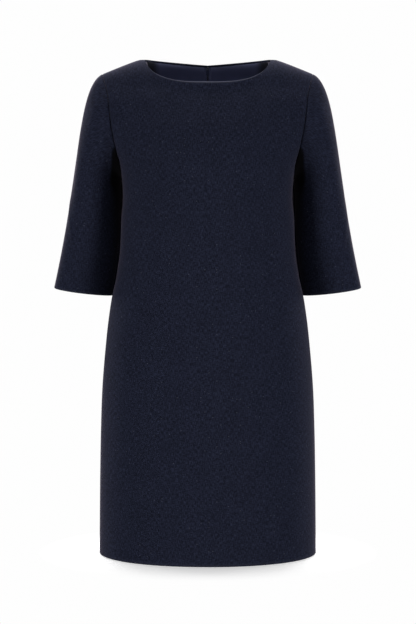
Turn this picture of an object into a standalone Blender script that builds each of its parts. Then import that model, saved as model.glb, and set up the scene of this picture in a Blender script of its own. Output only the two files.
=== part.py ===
"""Shift dress in felted wool: boat neck, set-in elbow sleeves, straight skirt, zip at the centre back.

Frame: metres, +Z up, the front faces -Y. The origin lies midway between the two shoulder seams,
where the wearer's shoulders carry the dress. Sizes below are in millimetres, and a "drop" is how
far a point lies below the neck point, the top end of the shoulder seam.
"""
import math
from typing import NamedTuple

import bpy
import numpy as np
from mathutils import Matrix, Vector

MM = 0.001

# driving sizes, mm
LENGTH = 892.0            # neck point to hem
NECK_HALF = 110.0         # half the width of the neck at the shoulders
SHOULDER_HALF = 187.0     # centre to the outer end of the shoulder seam
SHOULDER_DROP = 25.5
SHOULDER_FLAT = 11.0       # the seam runs level this far out from the neck point, then slopes
SHOULDER_BEND = 3.0       # size of the bend between the two
SHOULDER_CURVE = 1.08     # 1 is a straight slope, more steepens it towards the armhole
SHOULDER_ROUND = 70.0     # drop over which the cloth rolls forward over the shoulder
NECK_RISE = 26.0          # how far the form under the neck opening rises towards the centre
FRONT_NECK_DROP = 37.0
BACK_NECK_DROP = 10.5
UNDERARM_DROP = 214.0
ORIGIN_DROP = SHOULDER_DROP / 2

# cloth and seams, mm
WALL = 2.0
FACING_WALL = 1.0
TAPE_WALL = 0.7
SEAM_GAP = 0.3
EDGE_TUCK = 0.1           # share of a wall by which two thickened edges close in on each other
SEAM_HALF = SEAM_GAP / 2 + WALL * EDGE_TUCK
ARMHOLE_GAP = 0.8

# neck facing and zip, mm
FACING_CENTRE = 6.5       # the facing stops this far from the centre back seam
TAPE_INNER = 1.0
TAPE_OUTER = 12.0
SLIDER_DROP = 21.0
SLIDER_MOUTH = 1.2        # how far the seam parts round the slider
SLIDER_MOUTH_REACH = 5.0
PIN_OUT = 2.8             # hinge pin above the cloth
PIN_RADIUS = 0.6
EYE_BORE = 0.9
EYE_RADIUS = 1.7
EYE_WIDTH = 2.0
EAR_GAP = 0.4
EAR_WIDTH = 0.8
TAB_LENGTH = 22.0
TAB_WIDTH = 4.6
TAB_THICK = 1.0


class Section(NamedTuple):
    """A level of the hollow form that the body of the dress fills out."""
    name: str
    drop: float
    half_width: float
    front: float
    back: float


class Armhole(NamedTuple):
    """A level of the armhole seam: how far it lies from the centre, in front and behind."""
    drop: float
    front: float
    back: float


class Ring(NamedTuple):
    """A level of the sleeve: its centre, and its half width and half depth."""
    name: str
    drop: float
    out: float
    behind: float
    half_width: float
    half_depth: float


SECTIONS = (
    Section("neck point", 0, 236, 58, 62),
    Section("front neck", 40, 230, 62, 72),
    Section("upper chest", 75, 216, 80, 83),
    Section("chest", 100, 206, 94, 92),
    Section("across chest", 120, 197, 104, 98),
    Section("over underarm", 160, 173, 118, 106),
    Section("under armhole", 190, 158.5, 123, 109),
    Section("underarm", UNDERARM_DROP, 153, 124, 110),
    Section("bust", 245, 151.5, 125, 108),
    Section("under bust", 280, 154.5, 122, 106),
    Section("waist", 335, 156.8, 118, 104),
    Section("below waist", 385, 163.5, 119, 107),
    Section("high hip", 430, 173.3, 120, 112),
    Section("hip", 500, 182.6, 122, 118),
    Section("thigh", 612, 191.5, 124, 122),
    Section("skirt", 740, 195, 124, 124),
    Section("hem", LENGTH, 197, 124, 126),
)
FORM_ROUND = 2.05         # 2 is an ellipse, more is boxier

ARMHOLES = (
    Armhole(SHOULDER_DROP, SHOULDER_HALF, SHOULDER_HALF),
    Armhole(58, 177.5, 179),
    Armhole(98, 172.5, 174.5),
    Armhole(120, 169.5, 171.5),
    Armhole(159, 161.5, 163),
    Armhole(190, 154.5, 155.5),
    Armhole(UNDERARM_DROP, 153, 153),
)

RINGS = (
    Ring("bicep", 231, 195.8, 20, 46.3, 59),
    Ring("elbow", 322, 205.3, 24, 51.8, 55),
    Ring("cuff", 417, 221.4, 26, 55.4, 47),
)
SLEEVE_LEAN = math.radians(20)     # turns each ring's inner end towards the back
SLEEVE_TILT = math.radians(8.5)    # the arm's angle from upright
UNDERARM_TURN = math.radians(-28)  # where on the bicep ring the underarm point arrives
CAP_FALL = 0.43           # how steeply the cap leaves the shoulder, falling for each unit outwards
CAP_FLARE = 0.12          # how far it flares to the front and back as it leaves the armhole
CAP_PULL = 0.14           # fullness of the cap at the shoulder, as a share of its span
CAP_PULL_SIDES = 0.11     # and how much more it has at the front and back
ARM_PULL = 0.62           # how far up the cap the straight of the arm reaches
CAP_CROWD = 1.25          # more crowds the cap's rows towards the armhole

# grids: angles across a panel, and shares of the way from one level to the next
NECK_TURNS = (0, 20, 40, 57, 71, 82, 90)       # across the neck opening
SIDE_TURNS = (41, 48, 56, 64, 71, 77, 83, 87.5, 90)  # from there to the side
UPPER_STEPS = (0, 0.06, 0.17, 0.28, 0.39, 0.5, 0.61, 0.72, 0.83, 0.93, 1)
LOWER_ROWS = 12
FACING_ROWS = (1, 2, 3, 4, 5, 5.5)  # rows of the back that the facing lies on, about 58 mm of them
FACING_COLUMNS = 9                  # and columns, out to the middle of the shoulder
TAPE_ROWS = (1.5, *range(2, 16))    # rows of the back that a 50 cm zip runs along
CAP_ROWS = 9
SLEEVE_ROWS = 7

WOOL = ((0.0130, 0.0144, 0.0262), 0.95, 0.0)
SATIN = ((0.0080, 0.0090, 0.0200), 0.45, 0.0)
TAPE = ((0.0150, 0.0165, 0.0300), 0.80, 0.0)
METAL = ((0.0600, 0.0620, 0.0700), 0.35, 1.0)


# ---------------------------------------------------------------- the form

def column(table, name, drop):
    """One column of a table at any drop: a cubic through its rows that never overshoots them."""
    x = np.array([row.drop for row in table], float)
    y = np.array([getattr(row, name) for row in table], float)
    step = np.diff(x)
    slope = np.diff(y) / step
    tangent = np.concatenate(([slope[0]], np.zeros(len(x) - 2), [slope[-1]]))
    same_way = slope[:-1] * slope[1:] > 0
    before, after = slope[:-1][same_way], slope[1:][same_way]
    tangent[1:-1][same_way] = 2 * before * after / (before + after)
    at = np.clip(np.asarray(drop, float), x[0], x[-1])
    i = np.clip(np.searchsorted(x, at, side="right") - 1, 0, len(step) - 1)
    t = (at - x[i]) / step[i]
    return ((1 + 2 * t) * (1 - t) ** 2 * y[i] + t * (1 - t) ** 2 * step[i] * tangent[i]
            + t * t * (3 - 2 * t) * y[i + 1] + t * t * (t - 1) * step[i] * tangent[i + 1])


def bent_ramp(distance):
    """Zero, then a slope of one, with a soft bend between them at a distance of zero."""
    return (distance + np.hypot(distance, SHOULDER_BEND)) / 2


def shoulder_drop(x):
    """Drop of the shoulder line at a distance x from the centre: level, then a slope that steepens.

    Inside the neck opening the form goes on rising to the centre, like the root of a neck.
    """
    out = np.abs(x) - NECK_HALF - SHOULDER_FLAT
    whole = SHOULDER_HALF - NECK_HALF - SHOULDER_FLAT
    inside = np.clip(1 - (x / NECK_HALF) ** 2, 0, 1) ** 2
    slope = (bent_ramp(out) / bent_ramp(whole)) ** SHOULDER_CURVE
    return SHOULDER_DROP * slope - NECK_RISE * inside


def form_depth(x, drop, side):
    """How far the form stands in front of (or behind) the side seams at this place."""
    half_width = column(SECTIONS, "half_width", drop)
    across = np.clip(1 - (np.abs(x) / half_width) ** FORM_ROUND, 0, 1) ** (1 / FORM_ROUND)
    below = np.clip((drop - shoulder_drop(x)) / SHOULDER_ROUND, 0, 1)
    over = np.sqrt(1 - (1 - below) ** 2)
    return column(SECTIONS, side, drop) * across * over


def edge_half_width(drop, side):
    """Half width of a panel: to the armhole seam above the underarm, to the side seam below it."""
    return np.where(drop < UNDERARM_DROP, column(ARMHOLES, side, drop),
                    column(SECTIONS, "half_width", drop))


def neck_drop(x, side):
    """Drop of the neckline: a flat-bottomed curve in front, a shallow V behind."""
    t = np.clip(np.abs(x) / NECK_HALF, 0, 1)
    if side == "front":
        return FRONT_NECK_DROP * (1 - t ** 3) ** (1 / 1.75)
    return BACK_NECK_DROP * (1 - t ** 1.15)


def top_drop(share, side):
    """Drop of a panel's top edge, neckline then shoulder, on the column at this share of its width."""
    drop = np.full_like(share, SHOULDER_DROP)
    for _ in range(30):
        x = share * edge_half_width(drop, side)
        drop = np.where(np.abs(x) < NECK_HALF, neck_drop(x, side), shoulder_drop(x))
    return drop


def row_drops(top):
    """Drops of a panel's rows from its top edge down, for columns whose top edges are given.

    Rows crowd towards the top, where the cloth rolls over the shoulder.
    """
    break_share = (UNDERARM_DROP - SHOULDER_DROP) / (LENGTH - SHOULDER_DROP)
    break_drop = top + (LENGTH - top) * break_share
    upper = np.array(UPPER_STEPS)[:, None] ** 2
    lower = np.linspace(0, 1, LOWER_ROWS + 1)[1:, None]
    return np.concatenate((top + (break_drop - top) * upper,
                           break_drop + (LENGTH - break_drop) * lower))


def place(x, y, drop):
    """Points of a grid in metres, from widths, depths and drops in millimetres."""
    return np.stack((x, y, ORIGIN_DROP - drop), axis=-1) * MM


def inset(grid, distance):
    """A back grid moved along its own normals towards the inside of the dress, away from +Y."""
    along = np.gradient(grid, axis=0)
    across = np.gradient(grid, axis=1)
    normal = np.cross(along, across)
    normal *= np.sign(normal[..., 1:2]) / np.linalg.norm(normal, axis=-1, keepdims=True)
    return grid - normal * distance * MM


# ---------------------------------------------------------------- building

def material(name, look):
    colour, roughness, metallic = look
    made = bpy.data.materials.new(name)
    made.use_nodes = True
    shader = made.node_tree.nodes["Principled BSDF"]
    shader.inputs["Base Color"].default_value = (*colour, 1)
    shader.inputs["Roughness"].default_value = roughness
    shader.inputs["Metallic"].default_value = metallic
    return made


def add_object(name, mesh, collection, look):
    made = bpy.data.objects.new(name, mesh)
    made.data.materials.append(look)
    collection.objects.link(made)
    return made


def cloth(name, grid, wall, look, collection, closed=False):
    """A cloth piece: an open sheet through a grid of points, thickened inwards with Solidify.

    The grid's rows run downwards and its columns towards +X as seen from outside the dress.
    """
    rows, columns = grid.shape[:2]
    index = np.arange(rows * columns).reshape(rows, columns)
    if closed:
        index = np.concatenate((index, index[:, :1]), axis=1)
    quads = np.stack((index[:-1, :-1], index[1:, :-1], index[1:, 1:], index[:-1, 1:]), axis=-1)
    mesh = bpy.data.meshes.new(name)
    mesh.from_pydata(grid.reshape(-1, 3).tolist(), [], quads.reshape(-1, 4).tolist())
    mesh.shade_smooth()
    made = add_object(name, mesh, collection, look)
    shell = made.modifiers.new("wall", "SOLIDIFY")
    shell.thickness = wall * MM
    shell.offset = -1
    return made


def half_shares(side):
    """Shares of a panel's half width at its columns: centre, neck point, then out to the side."""
    neck = NECK_HALF / SHOULDER_HALF * np.sin(np.radians(NECK_TURNS))
    return np.concatenate((neck, np.sin(np.radians(SIDE_TURNS))))


def panel_grid(shares, side):
    """Grid of a body panel over the given columns, which run from left to right."""
    drop = row_drops(top_drop(shares, side))
    x = shares * edge_half_width(drop, side)
    depth = np.maximum(form_depth(x, drop, side), SEAM_HALF)
    return x, depth, drop


def front(collection, look):
    half = half_shares("front")
    shares = np.concatenate((-half[:0:-1], half))
    x, depth, drop = panel_grid(shares, "front")
    cloth("front", place(x, -depth, drop), WALL, look, collection)


def back_grid(hand):
    """Grid of one back, centre to side. Its centre edge parts a little round the slider."""
    x, depth, drop = panel_grid(half_shares("back"), "back")
    reach = ((drop[:, 0] - SLIDER_DROP) / SLIDER_MOUTH_REACH) ** 2
    x[:, 0] = SEAM_HALF + SLIDER_MOUTH * np.exp(-reach)
    return place(hand * x, depth, drop)


def as_seen(grid, hand):
    """The grid of a back piece with its columns running left to right from behind."""
    return grid if hand < 0 else grid[:, ::-1]


def back(name, hand, collection, look):
    cloth(name, as_seen(back_grid(hand), hand), WALL, look, collection)


def patch(grid, rows, columns):
    """Points of a grid at these rows and columns, which may lie between its own."""
    row = np.asarray(rows, float)[:, None]
    col = np.asarray(columns, float)[None, :]
    i = np.minimum(row.astype(int), grid.shape[0] - 2)
    j = np.minimum(col.astype(int), grid.shape[1] - 2)
    u = (row - i)[..., None]
    v = (col - j)[..., None]
    return ((grid[i, j] * (1 - v) + grid[i, j + 1] * v) * (1 - u)
            + (grid[i + 1, j] * (1 - v) + grid[i + 1, j + 1] * v) * u)


def neck_facing(name, hand, collection, look):
    """Back neck facing: the top rows of the back, moved inwards past the zip tape."""
    grid = back_grid(hand)
    first_column = abs(grid[0, 1, 0]) / MM
    columns = (FACING_CENTRE / first_column, *range(1, FACING_COLUMNS + 1))
    piece = patch(grid, FACING_ROWS, columns)
    away = WALL + SEAM_GAP + TAPE_WALL + SEAM_GAP
    cloth(name, as_seen(inset(piece, away), hand), FACING_WALL, look, collection)


def zip_tape(name, hand, collection, look):
    """One tape of the zip: a strip of the back beside its centre seam, moved inwards."""
    grid = back_grid(hand)
    first_column = abs(grid[0, 1, 0]) / MM
    piece = patch(grid, TAPE_ROWS, (TAPE_INNER / first_column, TAPE_OUTER / first_column))
    cloth(name, as_seen(inset(piece, WALL + SEAM_GAP), hand), TAPE_WALL, look, collection)


def sleeve_ring(ring, turn, hand):
    """Points of a sleeve ring: a leaning ellipse in a plane square to the arm."""
    x = -ring.half_width * np.cos(turn)
    y = ring.behind + ring.half_depth * np.sin(turn + SLEEVE_LEAN)
    return place(hand * (ring.out + x), y, ring.drop - x * math.tan(SLEEVE_TILT))


def armhole_loop(hand):
    """The armhole seam from the shoulder down the front and up the back, and each point's share."""
    top = np.array([float(SHOULDER_DROP)])
    drop = row_drops(top)[:len(UPPER_STEPS), 0]
    loops = []
    for side, sign in (("front", -1), ("back", 1)):
        x = edge_half_width(drop, side)
        y = sign * form_depth(x, drop, side)
        loops.append(np.stack((hand * x, y, ORIGIN_DROP - drop), axis=-1) * MM)
    down, up = loops[0], loops[1][-2:0:-1]
    loop = np.concatenate((down, up))
    steps = np.linalg.norm(np.diff(np.concatenate((loop, loop[:1])), axis=0), axis=1)
    walked = np.concatenate(([0], np.cumsum(steps)))
    bottom = len(down) - 1
    front_share = walked[:bottom + 1] / walked[bottom]
    back_share = (walked[bottom + 1:-1] - walked[bottom]) / (walked[-1] - walked[bottom])
    return loop, front_share, back_share


def sleeve(name, hand, collection, look):
    """A set-in sleeve: a cap that rolls out of the armhole, then rings down to the cuff."""
    loop, front_share, back_share = armhole_loop(hand)
    turn_front = math.pi + front_share * (math.pi + UNDERARM_TURN)
    turn_back = UNDERARM_TURN + back_share * (math.pi - UNDERARM_TURN)
    turn = np.concatenate((turn_front, turn_back))
    rings = [sleeve_ring(ring, turn, hand) for ring in RINGS]

    height = (loop[:, 2] - loop[:, 2].min()) / np.ptp(loop[:, 2])
    depth = loop[:, 1] / np.abs(loop[:, 1]).max()
    leave = np.stack((hand * np.ones(len(loop)), CAP_FLARE * depth, -CAP_FALL * height ** 2), axis=-1)
    leave /= np.linalg.norm(leave, axis=1, keepdims=True)
    arm_up = np.array((-hand * math.sin(SLEEVE_TILT), 0, math.cos(SLEEVE_TILT)))
    start = loop + leave * ARMHOLE_GAP * MM
    end = rings[0]
    span = np.linalg.norm(end - start, axis=1, keepdims=True)
    out_pull = span * (CAP_PULL + CAP_PULL_SIDES * np.abs(depth)[:, None])
    first = start + leave * out_pull
    last = end + arm_up * span * ARM_PULL
    t = np.linspace(0, 1, CAP_ROWS + 1)[:, None, None] ** CAP_CROWD
    cap = ((1 - t) ** 3 * start + 3 * t * (1 - t) ** 2 * first
           + 3 * t * t * (1 - t) * last + t ** 3 * end)

    share = np.linspace(0, 1, SLEEVE_ROWS + 1)[1:, None, None]
    bow = 4 * share * (1 - share)
    straight = rings[0] * (1 - share) + rings[2] * share
    middle = rings[1] - (rings[0] + rings[2]) / 2
    tube = straight + bow * middle
    grid = np.concatenate((cap, tube))
    cloth(name, grid if hand < 0 else grid[:, ::-1], WALL, look, collection, closed=True)


# ---------------------------------------------------------------- zip slider and pull

def box(name, size, at, collection):
    """A box of this size in millimetres, with a fine rounded edge."""
    bpy.ops.mesh.primitive_cube_add(size=1)
    made = bpy.context.object
    made.name = name
    made.scale = [s * MM for s in size]
    made.location = [a * MM for a in at]
    bpy.ops.object.transform_apply(location=True, rotation=True, scale=True)
    move_to(made, collection)
    return made


def rod(name, radius, length, at, collection):
    """A cylinder along X."""
    bpy.ops.mesh.primitive_cylinder_add(vertices=20, radius=radius * MM, depth=length * MM,
                                        rotation=(0, math.pi / 2, 0), location=[a * MM for a in at])
    made = bpy.context.object
    made.name = name
    bpy.ops.object.transform_apply(location=True, rotation=True, scale=True)
    move_to(made, collection)
    return made


def move_to(made, collection):
    for owner in list(made.users_collection):
        owner.objects.unlink(made)
    collection.objects.link(made)


def combine(target, other, operation):
    """Union or difference with a helper object, which stays hidden beside the model."""
    join = target.modifiers.new(operation.lower(), "BOOLEAN")
    join.operation = operation
    join.object = other
    other.hide_render = True
    other.display_type = "WIRE"


def slider_frame():
    """Place of the slider: on the outer face of the back seam, Z up along it and Y out of it."""
    drops = np.array([SLIDER_DROP - 4, SLIDER_DROP, SLIDER_DROP + 4])
    depths = form_depth(np.zeros(3), drops, "back")
    up = Vector((0, depths[0] - depths[2], drops[2] - drops[0])).normalized()
    out = Vector((0, up.z, -up.y))
    frame = Matrix((Vector((1, 0, 0)), out, up)).transposed().to_4x4()
    frame.translation = Vector((0, depths[1], ORIGIN_DROP - SLIDER_DROP)) * MM
    return frame


def zip_slider(frame_empty, collection, tools, look):
    """Slider: body inside the tapes, a bridge through the seam, two ears and a pin outside."""
    inner = WALL + SEAM_GAP + TAPE_WALL + 2 * SEAM_GAP
    body_thick = 3.2
    body = box("zip_slider", (5.6, body_thick, 9.0), (0, -inner - body_thick / 2, 0), collection)
    body.data.materials.append(look)
    bridge_length = inner + 1.2
    bridge = box("slider_bridge", (0.9, bridge_length, 4.0), (0, -inner - 0.4 + bridge_length / 2, 0), tools)
    combine(body, bridge, "UNION")
    plate_width = 2 * EAR_WIDTH + EYE_WIDTH + 2 * EAR_GAP
    plate = box("slider_plate", (plate_width, 0.5, 4.0), (0, 0.55, 0), tools)
    combine(body, plate, "UNION")
    for hand in (-1, 1):
        ear_x = hand * (EYE_WIDTH / 2 + EAR_GAP + EAR_WIDTH / 2)
        ear = box(f"slider_ear_{hand}", (EAR_WIDTH, PIN_OUT + 0.4, 2.6), (ear_x, 0.5 + PIN_OUT / 2, 0), tools)
        combine(body, ear, "UNION")
    pin = rod("slider_pin", PIN_RADIUS, plate_width - EAR_WIDTH, (0, PIN_OUT, 0), tools)
    combine(body, pin, "UNION")
    for piece in [body] + [m.object for m in body.modifiers]:
        piece.parent = frame_empty


def zip_pull(pin_empty, collection, tools, look):
    """Pull tab: an eye on the slider's pin and a flat tab with round corners hanging from it."""
    eye = rod("zip_pull", EYE_RADIUS, EYE_WIDTH, (0, 0, 0), collection)
    eye.data.materials.append(look)
    neck = box("pull_neck", (EYE_WIDTH, TAB_THICK, 4.0), (0, 0, -3.2), tools)
    combine(eye, neck, "UNION")
    tab_height = TAB_LENGTH - 5.0
    tab = box("pull_tab", (TAB_WIDTH, TAB_THICK, tab_height), (0, 0, -5.0 - tab_height / 2), tools)
    corners = tab.modifiers.new("corners", "BEVEL")
    corners.width = 1.6 * MM
    corners.segments = 4
    corners.limit_method = "WEIGHT"
    weights = tab.data.attributes.new("bevel_weight_edge", "FLOAT", "EDGE")
    for edge in tab.data.edges:
        a, b = (tab.data.vertices[i].co for i in edge.vertices)
        weights.data[edge.index].value = float(abs(a.y - b.y) > 0.5 * TAB_THICK * MM)
    combine(eye, tab, "UNION")
    bore = rod("pull_bore", EYE_BORE, EYE_WIDTH + 2, (0, 0, 0), tools)
    combine(eye, bore, "DIFFERENCE")
    for piece in [eye] + [m.object for m in eye.modifiers]:
        piece.parent = pin_empty


def empty(name, matrix, collection):
    made = bpy.data.objects.new(name, None)
    made.matrix_world = matrix
    collection.objects.link(made)
    return made


def main():
    for old in list(bpy.data.objects):
        bpy.data.objects.remove(old, do_unlink=True)
    dress = bpy.data.collections.new("shift_dress")
    tools = bpy.data.collections.new("cutters")
    for made in (dress, tools):
        bpy.context.scene.collection.children.link(made)

    wool = material("wool", WOOL)
    satin = material("facing", SATIN)
    woven_tape = material("zip_tape", TAPE)
    metal = material("zip_metal", METAL)

    front(dress, wool)
    back("back_left", -1, dress, wool)
    back("back_right", 1, dress, wool)
    sleeve("sleeve_left", -1, dress, wool)
    sleeve("sleeve_right", 1, dress, wool)
    neck_facing("neck_facing_left", -1, dress, satin)
    neck_facing("neck_facing_right", 1, dress, satin)
    zip_tape("zip_tape_left", -1, dress, woven_tape)
    zip_tape("zip_tape_right", 1, dress, woven_tape)

    seat = slider_frame()
    slider_empty = empty("slider_frame", seat, dress)
    pin_empty = empty("pull_hinge", seat @ Matrix.Translation((0, PIN_OUT * MM, 0)), dress)
    zip_slider(slider_empty, dress, tools, metal)
    zip_pull(pin_empty, dress, tools, metal)


main()
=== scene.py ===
# Shift dress in felted wool: fine cloth, back neck facing, zip and finishes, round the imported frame
import math

import bpy
import numpy as np
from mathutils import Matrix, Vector


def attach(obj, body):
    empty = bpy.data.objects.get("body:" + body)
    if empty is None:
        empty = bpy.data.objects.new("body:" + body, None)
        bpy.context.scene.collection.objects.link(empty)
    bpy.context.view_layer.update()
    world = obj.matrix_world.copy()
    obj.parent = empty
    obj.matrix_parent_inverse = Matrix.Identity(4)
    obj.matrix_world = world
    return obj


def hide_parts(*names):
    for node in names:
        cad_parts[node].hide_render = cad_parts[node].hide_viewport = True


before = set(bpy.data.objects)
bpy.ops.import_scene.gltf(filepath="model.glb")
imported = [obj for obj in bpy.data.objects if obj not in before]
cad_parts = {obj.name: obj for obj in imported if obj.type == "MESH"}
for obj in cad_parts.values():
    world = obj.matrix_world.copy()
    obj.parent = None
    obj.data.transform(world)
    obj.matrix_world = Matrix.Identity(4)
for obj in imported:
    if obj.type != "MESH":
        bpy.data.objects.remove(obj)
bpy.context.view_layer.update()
print("frame loaded")

mm = 0.001
quarter = math.pi / 2
slopeStep = 0.004             # of turn or way, over which a surface's slope is taken
hands = (("left", -1), ("right", 1))

# The cut. Lengths are in mm, and a drop is how far a point lies below the neck point

cut = {
    "length": 892,            # neck point to hem
    "neckHalf": 110,
    "shoulderHalf": 187,
    "shoulderDrop": 25.5,
    "shoulderFlat": 11,       # the shoulder seam runs level this far, then slopes
    "shoulderBend": 3,
    "shoulderCurve": 1.08,    # 1 is a straight slope, more steepens it towards the armhole
    "shoulderRound": 70,      # drop over which the cloth rolls over the shoulder
    "neckRise": 26,
    "frontNeckDrop": 37,
    "backNeckDrop": 10.5,
    "frontNeckPowers": (3, 1 / 1.75),    # of (1 - t^a)^b: flat in the middle, steep at the neck points
    "backNeckPower": 1.15,    # 1 is a straight V
    "underarmDrop": 214,
    "roundness": 2.05,        # of every level: 2 is an ellipse, more is boxier
}
bodyLevels = {
    "drop":      (0, 40, 75, 100, 120, 160, 190, 214, 245, 280, 335, 385, 430, 500, 612, 740, 892),
    "halfWidth": (236, 230, 216, 206, 197, 173, 158.5, 153, 151.5, 154.5, 156.8, 163.5, 173.3, 182.6,
                  191.5, 195, 197),
    "front":     (58, 62, 80, 94, 104, 118, 123, 124, 125, 122, 118, 119, 120, 122, 124, 124, 124),
    "back":      (62, 72, 83, 92, 98, 106, 109, 110, 108, 106, 104, 107, 112, 118, 122, 124, 126),
}
armholeLevels = {
    "drop":  (25.5, 58, 98, 120, 159, 190, 214),
    "front": (187, 177.5, 172.5, 169.5, 161.5, 154.5, 153),
    "back":  (187, 179, 174.5, 171.5, 163, 155.5, 153),
}
sewing = {
    "wall": 1.3,              # cloth thickness
    "roll": 1.6,              # radius of a seam's or neck edge's fold
    "centreRoll": 0.55,       # the back seam's edges are crisper
    "gap": 0.02,              # from a seam's centre to each fold; it closes at the lip's inner end
    "lip": 1.0,               # how far a seam's fold runs on inwards
    "trim": 3.0,              # allowances are cut back this much at their ends
    "centreTrim": 0.2,        # and by this share of it at the back seam
    "squash": 0.7,            # how far side folds flatten inside the top and hem folds
    "hemRoll": 1.8,
    "hemTurnUp": 38,
    "neckTurnIn": (11, 1.5),             # front and back; the facing is sewn to the back's
    "neckTurnInTo": ((104, 116), (106, 118)),   # x over which it grows into the shoulder's allowance
    "shoulderAllowance": 12,
    "mouth": 1.2,             # how far the back seam parts round the zip's slider
    "mouthDrop": 21,
    "mouthReach": 4,
}
panelGrid = {"front": 134, "back": 70, "upper": 58, "lower": 110}       # columns, then rows
originDrop = cut["shoulderDrop"] / 2
neckTurn = math.asin(cut["neckHalf"] / cut["shoulderHalf"])
breakShare = (cut["underarmDrop"] - cut["shoulderDrop"]) / (cut["length"] - cut["shoulderDrop"])


def through(levels, name, drop):
    # A cubic through one column of a table, with slopes that never overshoot its rows
    x = np.array(levels["drop"], float)
    y = np.array(levels[name], float)
    step = np.diff(x)
    slope = np.diff(y) / step
    tangent = np.r_[slope[0], np.zeros(len(x) - 2), slope[-1]]
    sameWay = slope[:-1] * slope[1:] > 0
    before, after = slope[:-1][sameWay], slope[1:][sameWay]
    tangent[1:-1][sameWay] = 2 * before * after / (before + after)
    at = np.clip(drop, x[0], x[-1])
    i = np.clip(np.searchsorted(x, at, side="right") - 1, 0, len(step) - 1)
    t = (at - x[i]) / step[i]
    return ((1 + 2 * t) * (1 - t) ** 2 * y[i] + t * (1 - t) ** 2 * step[i] * tangent[i]
            + t * t * (3 - 2 * t) * y[i + 1] + t * t * (t - 1) * step[i] * tangent[i + 1])


def smooth(value, low, high):
    # 0 below low, 1 above high, and 3t^2 - 2t^3 between them
    t = np.clip((value - low) / (high - low), 0, 1)
    return t * t * (3 - 2 * t)


def bentRamp(distance):
    # 0, then a slope of 1, with a soft bend between them: (d + sqrt(d^2 + bend^2)) / 2
    return (distance + np.hypot(distance, cut["shoulderBend"])) / 2


def shoulderLine(x):
    # Drop of the shoulder at x: level, then sloping; inside the neck it rises as (1 - (x/neck)^2)^2
    out = np.abs(x) - cut["neckHalf"] - cut["shoulderFlat"]
    whole = cut["shoulderHalf"] - cut["neckHalf"] - cut["shoulderFlat"]
    inside = np.clip(1 - (x / cut["neckHalf"]) ** 2, 0, 1) ** 2
    slope = (bentRamp(out) / bentRamp(whole)) ** cut["shoulderCurve"]
    return cut["shoulderDrop"] * slope - cut["neckRise"] * inside


def formDepth(side, x, drop):
    # Depth times (1 - (x/w)^p)^(1/p) across, times a quarter circle over the shoulder
    halfWidth = through(bodyLevels, "halfWidth", drop)
    power = cut["roundness"]
    across = np.clip(1 - (np.abs(x) / halfWidth) ** power, 0, 1) ** (1 / power)
    below = np.clip((drop - shoulderLine(x)) / cut["shoulderRound"], 0, 1)
    return through(bodyLevels, side, drop) * across * np.sqrt(1 - (1 - below) ** 2)


def edgeHalfWidth(side, drop):
    # To the armhole seam above the underarm, and to the side seam below it
    return np.where(drop < cut["underarmDrop"], through(armholeLevels, side, drop),
                    through(bodyLevels, "halfWidth", drop))


def neckLine(side, x):
    # A flat-bottomed curve in front, a shallow V behind
    t = np.clip(np.abs(x) / cut["neckHalf"], 0, 1)
    if side == "front":
        inner, outer = cut["frontNeckPowers"]
        return cut["frontNeckDrop"] * (1 - t ** inner) ** outer
    return cut["backNeckDrop"] * (1 - t ** cut["backNeckPower"])


def topDrop(side, share):
    # Where a column meets the neckline or shoulder: each pass takes x from the last pass's drop
    drop = np.full_like(share, cut["shoulderDrop"])
    for _ in range(30):
        x = share * edgeHalfWidth(side, drop)
        drop = np.where(np.abs(x) < cut["neckHalf"], neckLine(side, x), shoulderLine(x))
    return drop


def bodyPoint(side, turn, way):
    # x is sin(turn) of the half width; way 0 is the top edge, 1 the underarm's level, 2 the hem
    turn, way = np.broadcast_arrays(turn, way)
    share = np.sin(turn)
    top = topDrop(side, share)
    middle = top + (cut["length"] - top) * breakShare
    upper = top + (middle - top) * np.clip(way, 0, 1) ** 2
    drop = upper + (cut["length"] - middle) * np.clip(way - 1, 0, 1)
    x = share * edgeHalfWidth(side, drop)
    facing = -1 if side == "front" else 1
    return np.stack((x, facing * formDepth(side, x, drop), originDrop - drop), axis=-1)


def unit(vectors):
    return vectors / np.linalg.norm(vectors, axis=-1, keepdims=True)


def walk(points, axis=0):
    # Length walked from the start of a line of points, or down (0) or across (1) a grid
    steps = np.linalg.norm(np.diff(points, axis=axis), axis=-1)
    start = np.zeros_like(np.take(steps, [0], axis=axis))
    return np.concatenate((start, np.cumsum(steps, axis=axis)), axis=axis)


def bodyNormal(side, turn, way):
    # The cross of the slopes across and down, over small steps that stop at the edges
    across = (bodyPoint(side, np.minimum(turn + slopeStep, quarter), way)
              - bodyPoint(side, np.maximum(turn - slopeStep, -quarter), way))
    down = (bodyPoint(side, turn, np.minimum(way + slopeStep, 2))
            - bodyPoint(side, turn, np.maximum(way - slopeStep, 0)))
    facing = -1 if side == "front" else 1
    return unit(np.cross(across, down)) * facing


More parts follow.
